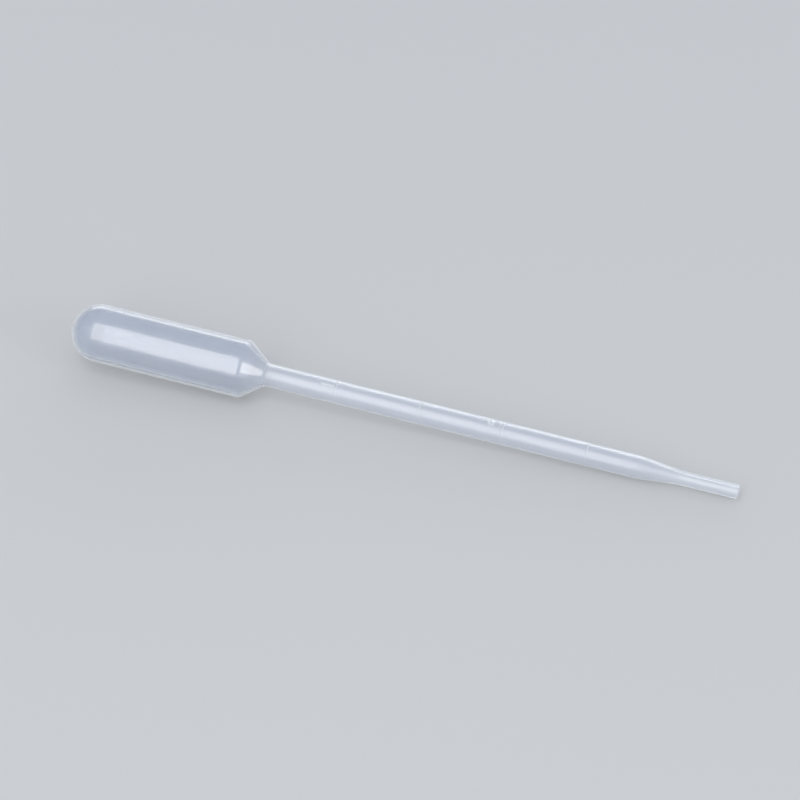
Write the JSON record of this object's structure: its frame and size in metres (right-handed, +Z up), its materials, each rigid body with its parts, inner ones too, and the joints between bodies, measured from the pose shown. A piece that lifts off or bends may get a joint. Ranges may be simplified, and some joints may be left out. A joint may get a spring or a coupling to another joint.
{
  "type": "dropper pipette",
  "caption": "Soft translucent dropper pipette in one piece: a closed squeeze bulb, a long slim stem with raised graduation lines, and a fine open tip. It lies at rest on its side.",
  "frame": {"origin": "middle of the box round the resting pipette, on the surface that it lies on", "axes": "+X level, from the bulb to the tip; +Y across the pipette; +Z up"},
  "size_m": [0.155, 0.0132, 0.0148],
  "materials": {
    "polyethylene": "translucent milky natural polyethylene, smooth and glossy, no colour added"
  },
  "bodies": {
    "root": {"pipette": "polyethylene"}
  },
  "joints": []
}
